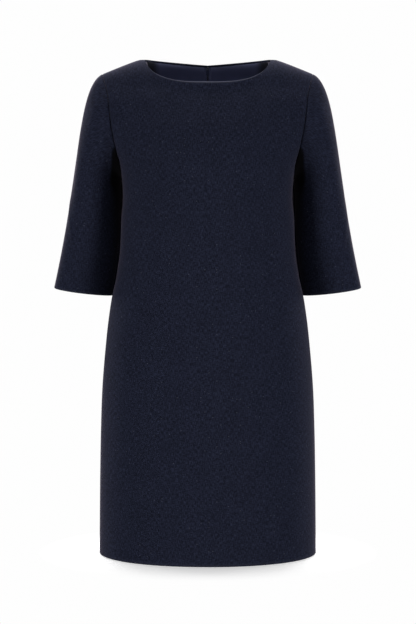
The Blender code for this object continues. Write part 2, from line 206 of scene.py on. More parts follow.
# Soft ridges (and troughs, with a negative height): centre, half sizes along and across, lean, height
frontCreases = {
    "x":      (-126, 131, -104, 118, -60, 74, 4, -148, 150, -30, 96),
    "drop":   (176, 168, 236, 250, 300, 330, 270, 640, 700, 760, 560),
    "along":  (46, 40, 50, 58, 90, 70, 60, 190, 150, 170, 140),
    "across": (11, 10, 15, 14, 30, 26, 60, 26, 30, 48, 34),
    "lean":   (34, -38, 52, -50, 16, -22, 0, 3, -4, 2, -6),
    "height": (1.3, 1.1, -1.2, -1.0, -0.9, 0.8, -1.5, 1.4, 1.6, -1.1, -0.9),
}
backCreases = {
    "x":      (-120, 124, -70, 78, -92, 60, -140, 146, -50, 44),
    "drop":   (150, 160, 320, 350, 372, 410, 620, 660, 720, 800),
    "along":  (44, 48, 70, 60, 64, 56, 180, 160, 150, 120),
    "across": (12, 12, 16, 14, 13, 15, 30, 28, 44, 40),
    "lean":   (-30, 33, -72, 68, -80, 76, -3, 4, 2, -5),
    "height": (1.2, 1.3, -1.4, -1.2, 1.1, 1.0, 1.5, 1.3, -1.2, -1.0),
}
creases = {"front": frontCreases, "back": backCreases}


def ridges(table, x, drop):
    # The sum of height * exp(-(a/along)^2 - (b/across)^2), a and b measured down and across each ridge
    rows = [np.array(table[name], float) for name in ("x", "drop", "along", "across", "lean", "height")]
    x0, drop0, along, across, lean, height = rows
    dx = x[..., None] - x0
    dz = drop[..., None] - drop0
    lean = np.radians(lean)
    a = dz * np.cos(lean) + dx * np.sin(lean)
    b = dx * np.cos(lean) - dz * np.sin(lean)
    return (height * np.exp(-(a / along) ** 2 - (b / across) ** 2)).sum(axis=-1)


def onBody(side, turn, way, inset):
    # A point of the body, raised by its creases (which fade at side and shoulder seams) and inset
    turn, way, inset = np.broadcast_arrays(turn, way, inset)
    point = bodyPoint(side, turn, way)
    fade = (1 - np.abs(np.sin(turn)) ** 10) * smooth(way, 0.1, 0.45)
    rise = ridges(creases[side], point[..., 0], originDrop - point[..., 2]) * fade
    return point + bodyNormal(side, turn, way) * (rise - inset)[..., None]


def solve(measure, high, wanted):
    # Halves the stretch from 0 to high until measure of it, which rises, is what is wanted
    low = np.zeros_like(wanted)
    high = np.full_like(wanted, high)
    for _ in range(26):
        middle = (low + high) / 2
        short = measure(middle) < wanted
        low, high = np.where(short, middle, low), np.where(short, high, middle)
    return (low + high) / 2


def wayDown(side, turn, distance):
    # How far down a column its chord back to the top edge is this long
    edge = bodyPoint(side, turn, 0.0)
    return solve(lambda way: np.linalg.norm(bodyPoint(side, turn, way) - edge, axis=-1), 0.7, distance)


def turnFromSide(side, way, distance):
    # The turn at which the chord to the armhole or side seam is this long
    edge = bodyPoint(side, quarter, way)
    return quarter - solve(
        lambda t: np.linalg.norm(bodyPoint(side, quarter - t, way) - edge, axis=-1), 0.6, distance)


def turnFromCentre(side, way, distance):
    # The turn whose x is the distance, and a little more round the zip's slider
    drop = originDrop - bodyPoint(side, 0.0, way)[..., 2]
    mouth = sewing["mouth"] * np.exp(-((drop - sewing["mouthDrop"]) / sewing["mouthReach"]) ** 2)
    return np.arcsin((distance + mouth) / edgeHalfWidth(side, drop))


def foldPath(roll, turnTo, arcSteps, runSteps):
    # Over an edge: distance from it, depth inwards, share of a half turn, and share of the run beyond
    angle = np.linspace(0, turnTo, arcSteps)
    run = np.linspace(0, 1, runSteps + 1)[1:]
    away = np.r_[roll * (1 - np.sin(angle)), np.full(runSteps, roll * (1 - math.sin(turnTo)))]
    inward = np.r_[roll * (1 - np.cos(angle)), np.full(runSteps, roll * (1 - math.cos(turnTo)))]
    turned = np.r_[angle, np.full(runSteps, turnTo)] / math.pi
    return away, inward, turned, np.r_[np.zeros(arcSteps), run]


def columnShares(start, columns):
    # Even shares of the turn from start to the side, with extra columns round each neck point
    near = np.radians((-2.1, -1.5, -1.0, -0.6, -0.3, -0.12, 0, 0.15, 0.4, 0.8))
    turns = np.r_[-neckTurn - near, neckTurn + near]
    turns = turns[turns > start]
    even = np.linspace(0, 1, columns)
    extra = (turns - start) / (quarter - start)
    apart = np.abs(even[:, None] - extra).min(axis=1) > 0.25 / columns
    return np.sort(np.r_[even[apart], extra])


def topAllowance(side, x):
    # Turn-in of the neck edge, then the shoulder seam's allowance
    which = 0 if side == "front" else 1
    turnIn = sewing["neckTurnIn"][which]
    return turnIn + (sewing["shoulderAllowance"] - turnIn) * smooth(x, *sewing["neckTurnInTo"][which])


def panelPoints(side, startEdge):
    # One panel on a grid: fold and allowance at the top, the panel, the hem's fold and turn-up;
    # at each side seam a quarter fold and a lip. startEdge is "side" for a whole front, else "centre".
    lipAway, lipIn, _, lipRun = foldPath(sewing["roll"], quarter, 6, 2)
    lipAway = lipAway + sewing["gap"] * (1 - lipRun)
    lipIn = lipIn + sewing["lip"] * lipRun
    lips = len(lipAway)
    start = -quarter if startEdge == "side" else 0.0
    inner = columnShares(start, panelGrid[side])
    share = np.r_[np.zeros(lips - 1), inner, np.ones(lips - 1)]
    crisp = 1 if startEdge == "side" else sewing["centreRoll"] / sewing["roll"]
    columnIn = np.r_[lipIn[:0:-1] * crisp, np.zeros(len(inner)), lipIn[1:]]
    turn0 = start + (quarter - start) * share

    topAway, topIn, topTurned, topRun = foldPath(sewing["roll"], math.pi, 8, 5)
    hemAway, hemIn, hemTurned, hemRun = foldPath(sewing["hemRoll"], math.pi, 8, 6)
    keep = 1 - sewing["squash"] * topTurned
    reach = topAllowance(side, np.abs(np.sin(turn0)) * cut["shoulderHalf"])
    # The crest of the top fold lies on the edge itself, so that the shoulder seam is shut
    away = (topAway[:, None] - topAway.min() + topRun[:, None] * reach
            + (np.sin(math.pi * topTurned) * keep)[:, None] * columnIn)
    wayTop = wayDown(side, turn0, away)
    keep = 1 - sewing["squash"] * hemTurned
    away = (hemAway[:, None] + (hemRun * sewing["hemTurnUp"])[:, None]
            + (np.sin(math.pi * hemTurned) * keep)[:, None] * columnIn)
    middle = topDrop(side, np.sin(turn0))
    middle = middle + (cut["length"] - middle) * breakShare
    wayHem = 2 - away / (cut["length"] - middle)

    upper = np.linspace(0, 1, panelGrid["upper"])[1:, None]
    lower = np.linspace(0, 1, panelGrid["lower"])[1:-1, None]
    way = np.concatenate((wayTop[::-1], wayTop[0] + (1 - wayTop[0]) * upper,
                          1 + (wayHem[0] - 1) * lower, wayHem))
    flat = np.zeros(len(upper) + len(lower))
    turned = np.r_[topTurned[::-1], flat, hemTurned]
    rowIn = np.r_[topIn[::-1], flat, hemIn]
    keep = 1 - sewing["squash"] * turned
    inset = rowIn[:, None] + (np.cos(math.pi * turned) * keep)[:, None] * columnIn

    trim = sewing["trim"] * turned[:, None]
    endTurn = turnFromSide(side, way[:, -lips:], lipAway + trim)
    if startEdge == "side":
        startTurn = -turnFromSide(side, way[:, :lips], lipAway[::-1] + trim)
    else:
        startAway = lipAway[::-1] * crisp + trim * sewing["centreTrim"]
        startTurn = turnFromCentre(side, way[:, :lips], startAway)
    between = startTurn[:, -1:] + (endTurn[:, :1] - startTurn[:, -1:]) * inner
    turn = np.concatenate((startTurn[:, :-1], between, endTurn[:, 1:]), axis=1)
    return turn, way, inset


def flatUv(points, closed=False):
    # Lengths walked along the cloth itself: across from the middle column, and up from the last row
    if closed:
        points = np.concatenate((points, points[:, :1]), axis=1)
    across, down = walk(points, 1), walk(points, 0)
    across = across - across[:, across.shape[1] // 2][:, None]
    return np.stack((across, down[-1] - down), axis=-1) * mm


def cellCorners(grid):
    # What a grid holds at each cell's four corners, going down and then right
    return np.stack((grid[:-1, :-1], grid[1:, :-1], grid[1:, 1:], grid[:-1, 1:]), axis=2)


def quadsOf(shape, closed=False):
    index = np.arange(shape[0] * shape[1]).reshape(shape)
    if closed:
        index = np.concatenate((index, index[:, :1]), axis=1)
    return cellCorners(index)


def addMesh(name, points, quads, material, uv=None):
    # A smooth mesh from points in mm; uv holds a pair for each corner of each quad
    mesh = bpy.data.meshes.new(name)
    mesh.from_pydata((points.reshape(-1, 3) * mm).tolist(), [], quads.reshape(-1, 4).tolist())
    mesh.shade_smooth()
    if uv is not None:
        layer = mesh.uv_layers.new(name="cloth")
        layer.data.foreach_set("uv", uv.reshape(-1).astype(np.float32))
    made = bpy.data.objects.new(name, mesh)
    made.data.materials.append(material)
    bpy.context.scene.collection.objects.link(made)
    return made


def clothPiece(name, points, wall, material, flipped=False, closed=False):
    # A sheet through a grid of points, given its wall inwards; a right-hand piece is cut from another
    # place in the cloth, so that its pattern doesn't mirror the left one's
    quads = quadsOf(points.shape[:2], closed)
    uv = flatUv(points, closed) + (0.83 if points[..., 0].mean() > 20 else 0)
    corners = cellCorners(uv)
    if flipped:
        quads, corners = quads[..., ::-1], corners[:, :, ::-1]
    made = addMesh(name, points, quads, material, corners)
    shell = made.modifiers.new("wall", "SOLIDIFY")
    shell.thickness = wall * mm
    shell.offset = -1
    return made


def markRow(made, points, crest, share, reach=2.2, mark="edge"):
    # Marks the cloth along one folded row as paler ("edge"), a painted highlight on the wool, or with
    # painted shade ("deep"):
    # share * exp(-(walk from it / reach)^2)
    walked = walk(points)
    amount = share * np.exp(-((walked - walked[crest]) / reach) ** 2)
    layer = made.data.attributes.get(mark) or made.data.attributes.new(mark, "FLOAT", "POINT")
    before = np.zeros(amount.size, np.float32)
    layer.data.foreach_get("value", before)
    layer.data.foreach_set("value", np.maximum(before, amount.reshape(-1)).astype(np.float32))


def shadeDeep(made, share):
    # Paints shade on cloth that lies in a deep fold or corner, by its share of full darkness
    layer = made.data.attributes.new("deep", "FLOAT", "POINT")
    layer.data.foreach_set("value", share.reshape(-1).astype(np.float32))


def flatSize(points, closed=False):
    # Widest row, longest column and whole area of a grid, in metres
    uv = flatUv(points, closed)
    width = np.ptp(uv[..., 0], axis=1).max()
    length = np.ptp(uv[..., 1], axis=0).max()
    if closed:
        points = np.concatenate((points, points[:, :1]), axis=1)
    a = points[1:, 1:] - points[:-1, :-1]
    b = points[1:, :-1] - points[:-1, 1:]
    area = np.linalg.norm(np.cross(a, b), axis=-1).sum() / 2 * mm * mm
    return width, length, area


class Wire:
    # A socket of a material's tree, with sums written as sums

    def __init__(self, tree, socket=None):
        self.tree = tree
        self.socket = socket

    def node(self, kind, settings=None, inputs=None, output=0):
        # Any node: its settings first, then the values or wires of its sockets
        made = self.tree.nodes.new("ShaderNode" + kind)
        for name, value in (settings or {}).items():
            if name == "stops":
                ramp = made.color_ramp.elements
                for _ in range(len(value) - 2):
                    ramp.new(0.5)
                for stop, (place, shade) in zip(ramp, value):
                    stop.position = place
                    stop.color = (shade, shade, shade, 1)
            else:
                setattr(made, name, value)
        for key, value in (inputs or {}).items():
            if isinstance(value, Wire):
                self.tree.links.new(value.socket, made.inputs[key])
            else:
                made.inputs[key].default_value = value
        return Wire(self.tree, made.outputs[output])

    def sum(self, operation, first, second):
        return self.node("Math", {"operation": operation}, {0: first, 1: second})

    def __add__(self, other):
        return self.sum("ADD", self, other)

    def __sub__(self, other):
        return self.sum("SUBTRACT", self, other)

    def __rsub__(self, other):
        return self.sum("SUBTRACT", other, self)

    def __mul__(self, other):
        return self.sum("MULTIPLY", self, other)

    def __gt__(self, other):
        return self.sum("GREATER_THAN", self, other)

    def __lt__(self, other):
        return self.sum("LESS_THAN", self, other)

    def tint(self, first, second):
        # A colour between two, by this share
        return self.node("Mix", {"data_type": "RGBA"}, {0: self, 6: first, 7: second}, 2)


def rgba(colour, times=1.0):
    return (*(channel * times for channel in colour), 1)


def newFinish(name, fixed, places="Object"):
    # A material whose shader has these fixed values; gives it, its shader and the places on it
    made = bpy.data.materials.new(name)
    made.use_nodes = True
    shader = made.node_tree.nodes["Principled BSDF"]
    for socket, value in fixed.items():
        shader.inputs[socket].default_value = value
    return made, shader, Wire(made.node_tree).node("TexCoord", output=places)


def plug(shader, socket, wire):
    wire.tree.links.new(wire.socket, shader.inputs[socket])


def bump(shader, height, strength, depth):
    # Raises the finish by its height, up to this depth in m
    plug(shader, "Normal", height.node("Bump", None, {
        "Height": height, "Strength": strength, "Distance": depth}))


def grain(place, across, along, detail=2.0, roughness=0.5, seed=0.0):
    # Noise whose spots are this wide and this long, in mm
    spot = place.node("Mapping", None, {"Vector": place, "Location": (seed, seed * 0.7, 0),
                                        "Scale": (1 / (across * mm), 1 / (along * mm), 1)})
    return place.node("TexNoise", {"noise_dimensions": "2D"},
                      {"Vector": spot, "Scale": 1.0, "Detail": detail, "Roughness": roughness})


wool = {
    "colour": (0.0125, 0.0148, 0.0288),
    "shades": (0.6, 1.9),     # its darkest and lightest, times the colour
    "sheen": 0.165,
    "sheenTint": (0.94, 0.78, 0.95, 1),
    "melange": 2.5,           # how far light and dark dashes differ
    "dash": (1.2, 6.5),       # mm, across and along a dash
    "upright": 0.56,          # share of the dashes that run down, not across
    "fibre": 0.8,             # mm across, and how much it shows
    "fibreTone": 0.8,
    "mottle": 34,             # mm, the size of slow changes of shade
    "mottleTone": 0.22,
    "level": 0.30,            # where between its shades an even patch lies
    "nep": 7.0,               # mm between places where a light nep may lie
    "nepShare": 0.035,
    "nepSize": 0.11,          # a share of the distance between places
    "nepStrength": 0.6,
    "nepColour": (0.080, 0.085, 0.115),
    "edge": (0.094, 0.100, 0.136),       # painted highlight along a folded edge, for light caught by its nap
    "deep": (0.0015, 0.0015, 0.0020),    # cloth that no light reaches
}


def feltedWool():
    # Navy with short light and dark dashes both ways, slow mottling, rare light neps and felt's bump, a
    # painted highlight along folded edges and painted shade in deep folds and corners
    made, shader, place = newFinish("felted_wool", {
        "Roughness": 0.95, "Sheen Weight": wool["sheen"], "Sheen Roughness": 0.33,
        "Sheen Tint": wool["sheenTint"], "Specular IOR Level": 0.05}, "UV")
    short, long = wool["dash"]
    upright = grain(place, short, long, 0.6, seed=3.1)
    lying = grain(place, long, short, 0.6, seed=8.3)
    fibres = grain(place, wool["fibre"], wool["fibre"] * 1.6, 3.0, 0.6, seed=1.7)
    slow = grain(place, wool["mottle"], wool["mottle"] * 1.3, 2.0, seed=5.2)
    dashes = upright * wool["upright"] + lying * (1 - wool["upright"])
    tone = ((dashes - 0.5) * wool["melange"] + (fibres - 0.5) * wool["fibreTone"]
            + (slow - 0.5) * wool["mottleTone"] + wool["level"])
    dark, light = (rgba(wool["colour"], shade) for shade in wool["shades"])
    cell = place.node("Mapping", None, {"Vector": place, "Scale": (1 / (wool["nep"] * mm),) * 3})
    spots = {"Vector": cell, "Scale": 1.0, "Randomness": 1.0}
    near = place.node("TexVoronoi", {"voronoi_dimensions": "2D"}, spots)
    which = place.node("TexVoronoi", {"voronoi_dimensions": "2D"}, spots, 1)
    chosen = place.node("SeparateColor", None, {0: which}) > 1 - wool["nepShare"]
    nep = (near < wool["nepSize"]) * chosen * wool["nepStrength"]
    # Painted highlight along folded edges, from the edge mark
    edgeHighlight = place.node("Attribute", {"attribute_name": "edge"}, output=2)
    colour = edgeHighlight.tint(tone.tint(dark, light), rgba(wool["edge"]))
    colour = nep.tint(colour, rgba(wool["nepColour"]))
    # Painted shade in deep folds and corners, from the deep mark
    paintedDeepShade = place.node("Attribute", {"attribute_name": "deep"}, output=2)
    plug(shader, "Base Color", paintedDeepShade.tint(colour, rgba(wool["deep"])))
    height = fibres * 0.6 + dashes * 0.9 + nep * 0.6
    bump(shader, height, 0.55, 0.0004)
    return made


satin = {
    # painted lighter than the dark satin is, for light that doesn't reach inside the neck
    "colour": (0.0660, 0.0740, 0.1560),
    "top": (0.150, 0.162, 0.300),        # paler along the neck edge
    "corner": (0.010, 0.011, 0.020),     # shadowed at the neck points
    "thread": 0.35,
}


def facingSatin():
    # Smooth dark cloth with fine warp lines and a soft shine, painted lighter overall for the light it
    # lacks inside the neck
    made, shader, place = newFinish("facing_satin_painted_lighter", {
        "Specular IOR Level": 0.4, "Sheen Weight": 0.05}, "UV")
    warp = grain(place, satin["thread"], satin["thread"] * 14, 2.0, seed=2.4)
    slow = grain(place, 22, 30, 1.0, seed=6.6)
    tone = (warp - 0.5) * 0.5 + (slow - 0.5) * 0.3 + 0.5
    colour = tone.tint(rgba(satin["colour"], 0.6), rgba(satin["colour"], 1.4))
    top = place.node("Attribute", {"attribute_name": "edge"}, output=2)
    # Painted shade at the neck points, from the deep mark
    corner = place.node("Attribute", {"attribute_name": "deep"}, output=2)
    colour = top.tint(colour, rgba(satin["top"]))
    plug(shader, "Base Color", corner.tint(colour, rgba(satin["corner"])))
    plug(shader, "Roughness", warp * 0.2 + 0.36)
    bump(shader, warp, 0.3, 0.0001)
    return made


# The tape is painted lighter than it is, to lift the shade it sits in between the facings
tapeWeave = {"colour": (0.0900, 0.1000, 0.2000), "rib": 0.9}


def zipTape():
    # Woven tape: ribs that lean one way and then the other, like herringbone
    made, shader, place = newFinish("zip_tape", {
        "Specular IOR Level": 0.25, "Sheen Weight": 0.08}, "UV")
    parts = place.node("SeparateXYZ", None, {0: place})
    across = parts * (1 / (tapeWeave["rib"] * mm))
    up = place.node("SeparateXYZ", None, {0: place}, 1) * (1 / (tapeWeave["rib"] * mm))
    zigzag = place.node("Math", {"operation": "PINGPONG"}, {0: across, 1: 2.0})
    rib = place.node("Math", {"operation": "SINE"}, {0: (up + zigzag) * 2 * math.pi}) * 0.5 + 0.5
    worn = grain(place, 3, 9, 2.0, seed=4.4)
    tone = rib * 0.6 + worn * 0.4
    colour = tapeWeave["colour"]
    plug(shader, "Base Color", tone.tint(rgba(colour, 0.6), rgba(colour, 1.4)))
    plug(shader, "Roughness", 0.85 - rib * 0.15)
    bump(shader, rib, 0.5, 0.0002)
    return made


enamel = {
    # the slider's colours, painted lighter than its enamel to lift the shade it sits in
    "colour": (0.046, 0.052, 0.098),
    "rub": (0.062, 0.068, 0.112),
    "pullShade": 0.4,         # the tab's colours, times the slider's
}


def zipEnamel(name, shade=1.0):
    # Dark enamel on metal, rubbed lighter in small patches
    made, shader, place = newFinish(name, {"Specular IOR Level": 0.15})
    patch = place.node("TexNoise", None, {"Vector": place, "Scale": 900.0, "Detail": 4.0})
    rubbed = place.node("ValToRGB", {"stops": ((0.58, 0), (0.70, 1))}, {0: patch})
    plug(shader, "Base Color", rubbed.tint(rgba(enamel["colour"], shade), rgba(enamel["rub"], shade)))
    plug(shader, "Metallic", rubbed * 0.15)
    plug(shader, "Roughness", patch * 0.2 + 0.48)
    bump(shader, patch, 0.15, 0.0001)
    return made


nylon = {"dark": (0.034, 0.038, 0.070), "light": (0.050, 0.055, 0.100)}


def zipNylon():
    # Moulded coil: smooth, with a faint unevenness
    made, shader, place = newFinish("zip_nylon", {"Specular IOR Level": 0.4})
    uneven = place.node("TexNoise", None, {"Vector": place, "Scale": 700.0, "Detail": 2.0})
    plug(shader, "Base Color", uneven.tint(rgba(nylon["dark"]), rgba(nylon["light"])))
    plug(shader, "Roughness", uneven * 0.2 + 0.3)
    return made


thread = {"dark": (0.022, 0.024, 0.042), "light": (0.050, 0.054, 0.084)}


def sewingThread():
    # Twisted polyester thread
    made, shader, place = newFinish("sewing_thread", {"Roughness": 0.6, "Sheen Weight": 0.2})
    twist = place.node("TexNoise", None, {"Vector": place, "Scale": 2500.0, "Detail": 1.0})
    plug(shader, "Base Color", twist.tint(rgba(thread["dark"]), rgba(thread["light"])))
    return made


woolFinish = feltedWool()
satinFinish = facingSatin()
tapeFinish = zipTape()
sliderPaintedLightFinish = zipEnamel("slider_enamel_painted_light")
pullFinish = zipEnamel("pull_enamel", enamel["pullShade"])
nylonFinish = zipNylon()
threadFinish = sewingThread()
print("finishes made")


def bodyPanel(name, side, hand=1):
    # A whole front, or a left (-1) or right (1) back
    turn, way, inset = panelPoints(side, "side" if side == "front" else "centre")
    points = onBody(side, hand * turn, way, inset)
    return clothPiece(name, points, sewing["wall"], woolFinish, side == "back" and hand > 0), points


def declareCloth(made, points, node, closed=False):
    # Stands for a node, rides with the dress, and says what it was cut to
    width, length, area = flatSize(points, closed)
    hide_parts(node)
    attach(made, "dress")
    print(f"{made.name}: cut {width:.3f} x {length:.3f} m, {area:.4f} m2")


topCrest, hemCrest = 8, -11               # the rows along the middle of each fold
foldMarks = {
    "neckReach": 2.8,         # mm, of the painted highlight along the neck edge
    # share of the painted highlight along the hem and cuff folds
    "hemHighlight": 0.25,
    # painted shade in the shoulder seam's fold: its share, then its reach in mm
    "seamPaintedShade": 0.9,
    "seamReach": 1.6,
}


def onShoulder(points):
    # 1 along the shoulder seam, 0 along the neck
    return smooth(np.abs(points[topCrest, :, 0]), cut["neckHalf"] + 1, cut["neckHalf"] + 5)


def markSeam(made, points):
    # Paints shade into the shoulder seam's fold
    share = foldMarks["seamPaintedShade"] * onShoulder(points)
    markRow(made, points, topCrest, share, foldMarks["seamReach"], "deep")


front, frontPoints = bodyPanel("front_panel", "front")
declareCloth(front, frontPoints, "front")
# A painted highlight along the neck edge, none along the shoulder seam
markRow(front, frontPoints, topCrest, 1 - onShoulder(frontPoints), foldMarks["neckReach"])
markSeam(front, frontPoints)
markRow(front, frontPoints, hemCrest, foldMarks["hemHighlight"])
for name, hand in hands:
    back, backPoints = bodyPanel("back_panel_" + name, "back", hand)
    declareCloth(back, backPoints, "back_" + name)
    markSeam(back, backPoints)
    markRow(back, backPoints, hemCrest, foldMarks["hemHighlight"])
print("panels made")

sleeveCut = {
    "drop":      (231, 322, 417),        # bicep, elbow, cuff
    "out":       (195.8, 205.3, 221.4),
    "behind":    (20, 24, 26),
    "halfWidth": (46.3, 51.8, 55.4),
    "halfDepth": (59, 55, 47),
}
sleeveSet = {
    "lean": math.radians(20),            # the rings' inner ends turn towards the back
    "tilt": math.radians(8.5),           # the arm from upright
    "underarm": math.radians(-28),
    "capFall": 0.43,                     # how steeply the cap leaves the shoulder
    "capFlare": 0.12,
    "capPull": 0.14,                     # fullness of the cap at the shoulder, a share of its span
    "capPullSides": 0.11,                # and how much more it has at the front and back
    "armPull": 0.62,                     # how far up the cap the straight of the arm reaches
    "capEase": 1.25,                     # rows crowd towards the armhole as this grows past 1
    "turnInOver": 0.08,                  # share of the arm over which it leaves the cap's direction
    "cuffRoll": 1.7,
    "cuffTurnUp": 30,
    "columns": 74,                       # down the front, and as many up the back
    "capRows": 46,
    "armRows": 44,
    "seamDepth": 1.1,
    "seamHalf": 1.5,
}
# Here x goes round from the underarm seam, and drop down from the cap's edge
leftSleeveCreases = {
    "x":      (-104, -70, -128, 96, 60, 120, -90),
    "drop":   (262, 300, 180, 250, 290, 150, 345),
    "along":  (36, 30, 44, 34, 30, 46, 30),
    "across": (9, 8, 12, 9, 8, 12, 12),
    "lean":   (52, 60, 14, -50, -58, -12, 20),
    "height": (1.3, -1.1, -1.0, 1.3, -1.2, -1.0, 0.9),
}
rightSleeveCreases = {
    "x":      (-98, -74, -120, 102, 66, 116, -84),
    "drop":   (272, 308, 170, 240, 284, 160, 350),
    "along":  (34, 32, 46, 36, 28, 44, 28),
    "across": (9, 9, 12, 10, 8, 12, 11),
    "lean":   (56, 58, 12, -54, -60, -15, 24),
    "height": (1.2, -1.2, -0.9, 1.4, -1.1, -1.1, 0.9),
}
underarmPaintedShade = {                         # painted shade beside the front of the armhole, for the shadow of a fold there, in mm
    "drop":  (148, 158, 172, 190, 214, 250, 300, 360, 417),
    "width": (-3, 7, 12, 17, 20, 17, 13, 10, 8),         # how far out of the body's edge it goes
    "soft":  (2, 2, 2.5, 3, 4, 10, 14, 16, 18),          # how gradually it ends there
    "share": (0.3, 0.9, 1, 1, 1, 0.9, 0.8, 0.7, 0.6),
}


def sleeveRing(level, turn, hand):
    # A leaning ellipse in a plane square to the arm
    ring = {name: values[level] for name, values in sleeveCut.items()}
    x = -ring["halfWidth"] * np.cos(turn)
    y = ring["behind"] + ring["halfDepth"] * np.sin(turn + sleeveSet["lean"])
    return np.stack((hand * (ring["out"] + x), y,
                     originDrop - ring["drop"] + x * math.tan(sleeveSet["tilt"])), axis=-1)


def armholeHalf(side, hand, share):
    # Points at shares of the walk along the armhole from the shoulder to the underarm
    ways = np.linspace(0, 1, 400)
    points = bodyPoint(side, quarter, ways)
    walked = walk(points)
    points = bodyPoint(side, quarter, np.interp(share, walked / walked[-1], ways))
    return points * (hand, 1, 1)


def sleeveFrame(hand):
    # What each column of the sleeve runs through: armhole, two pulls, and the three rings
    extra = 1 - np.array((0.9, 1.8, 2.8, 4.2)) / 165     # mm: columns close to the underarm seam
    share = np.sort(np.r_[np.linspace(0, 1, sleeveSet["columns"] + 1), extra])
    back = (1 - share)[::-1][1:-1]
    turn = np.r_[math.pi + share * (math.pi + sleeveSet["underarm"]),
                 sleeveSet["underarm"] + back * (math.pi - sleeveSet["underarm"])]
    loop = np.concatenate((armholeHalf("front", hand, share), armholeHalf("back", hand, 1 - back)))
    rings = [sleeveRing(level, turn, hand) for level in range(3)]
    height = (loop[:, 2] - loop[:, 2].min()) / np.ptp(loop[:, 2])
    depth = loop[:, 1] / np.abs(loop[:, 1]).max()
    leave = unit(np.stack((hand * np.ones(len(loop)), sleeveSet["capFlare"] * depth,
                           -sleeveSet["capFall"] * height ** 2), axis=-1))
    armDown = np.array((hand * math.sin(sleeveSet["tilt"]), 0, -math.cos(sleeveSet["tilt"])))
    start = loop + leave * sewing["gap"]
    span = np.linalg.norm(rings[0] - start, axis=1, keepdims=True)
    fullness = sleeveSet["capPull"] + sleeveSet["capPullSides"] * np.abs(depth)[:, None]
    first = start + leave * span * fullness
    last = rings[0] - armDown * span * sleeveSet["armPull"]
    middle = rings[1] - (rings[0] + rings[2]) / 2
    slope = rings[2] - rings[0] + 4 * middle
    turnIn = armDown * np.linalg.norm(slope, axis=1, keepdims=True) - slope
    return {"start": start, "first": first, "last": last, "rings": rings, "middle": middle,
            "turnIn": turnIn, "seam": len(share) - 1}


def sleevePoint(arm, way):
    # way 0 to 1 is a Bezier from armhole to bicep; 1 to 2 goes on through elbow to cuff,
    # and takes up the cap's direction over the first few centimetres
    t = (np.clip(way, 0, 1) ** sleeveSet["capEase"])[..., None]
    cap = ((1 - t) ** 3 * arm["start"] + 3 * t * (1 - t) ** 2 * arm["first"]
           + 3 * t * t * (1 - t) * arm["last"] + t ** 3 * arm["rings"][0])
    s = np.clip(way - 1, 0, 1)[..., None]
    rest = (arm["rings"][0] * (1 - s) + arm["rings"][2] * s + 4 * s * (1 - s) * arm["middle"]
            + arm["turnIn"] * s * np.exp(-s / sleeveSet["turnInOver"]) * (1 - s))
    return np.where(way[..., None] < 1, cap, rest)


def underarmShade(points):
    # Share of painted shade beside the armhole: only low down, in front, and within its width of the
    # body's edge
    drop = originDrop - points[..., 2]
    width, soft, share = (through(underarmPaintedShade, column, drop) for column in ("width", "soft", "share"))
    beyond = np.abs(points[..., 0]) - edgeHalfWidth("front", drop) - width
    inFront = 1 - smooth(points[..., 1], 10, 40)
    return (1 - smooth(beyond, -soft, soft)) * share * smooth(drop, 146, 156) * inFront


def sleevePiece(name, hand, creaseTable):
    arm = sleeveFrame(hand)
    count = len(arm["start"])
    topAway, topIn, _, topRun = foldPath(sewing["roll"], quarter, 6, 2)
    cuffAway, cuffIn, _, cuffRun = foldPath(sleeveSet["cuffRoll"], math.pi, 8, 6)
    wanted = (topAway + sewing["gap"] * (1 - topRun))[:, None] * np.ones(count)
    wayTop = solve(
        lambda way: np.linalg.norm(sleevePoint(arm, way) - arm["start"], axis=-1), 0.7, wanted)
    armLength = np.linalg.norm(arm["rings"][2] - arm["rings"][0], axis=1)
    wayCuff = 2 - (cuffAway + cuffRun * sleeveSet["cuffTurnUp"])[:, None] / armLength
    capStep = np.linspace(0, 1, sleeveSet["capRows"])[1:, None]
    armStep = np.linspace(0, 1, sleeveSet["armRows"])[1:-1, None]
    way = np.concatenate((wayTop[::-1], wayTop[0] + (1 - wayTop[0]) * capStep,
                          1 + (wayCuff[0] - 1) * armStep, wayCuff))
    flat = np.zeros(len(capStep) + len(armStep))
    inset = np.r_[(topIn + sewing["lip"] * topRun)[::-1], flat, cuffIn][:, None] * np.ones(count)

    point = sleevePoint(arm, way)
    along = (sleevePoint(arm, np.minimum(way + slopeStep, 2))
             - sleevePoint(arm, np.maximum(way - slopeStep, 0)))
    around = np.roll(point, -1, axis=1) - np.roll(point, 1, axis=1)
    out = unit(np.cross(around, along)) * hand
    walkedAround = np.cumsum(np.linalg.norm(point - np.roll(point, 1, axis=1), axis=-1), axis=1)
    fromSeam = walkedAround - walkedAround[:, arm["seam"]][:, None]
    plain = (inset == 0) * smooth(way, 0.15, 0.5)
    rise = ridges(creaseTable, fromSeam, walk(point)) * smooth(np.abs(fromSeam), 30, 60) * plain
    seam = sleeveSet["seamDepth"] * np.exp(-(fromSeam / sleeveSet["seamHalf"]) ** 2)
    points = point + out * (rise - inset - seam * smooth(way, 0.0, 0.04))[..., None]
    made = clothPiece(name, points, sewing["wall"], woolFinish, flipped=hand > 0, closed=True)
    shadeDeep(made, underarmShade(points))
    return made, points


for name, hand, table in (("left", -1, leftSleeveCreases), ("right", 1, rightSleeveCreases)):
    sleeve, sleevePoints = sleevePiece("sleeve_cloth_" + name, hand, table)
    declareCloth(sleeve, sleevePoints, "sleeve_" + name, closed=True)
    markRow(sleeve, sleevePoints, hemCrest, foldMarks["hemHighlight"])
print("sleeves made")

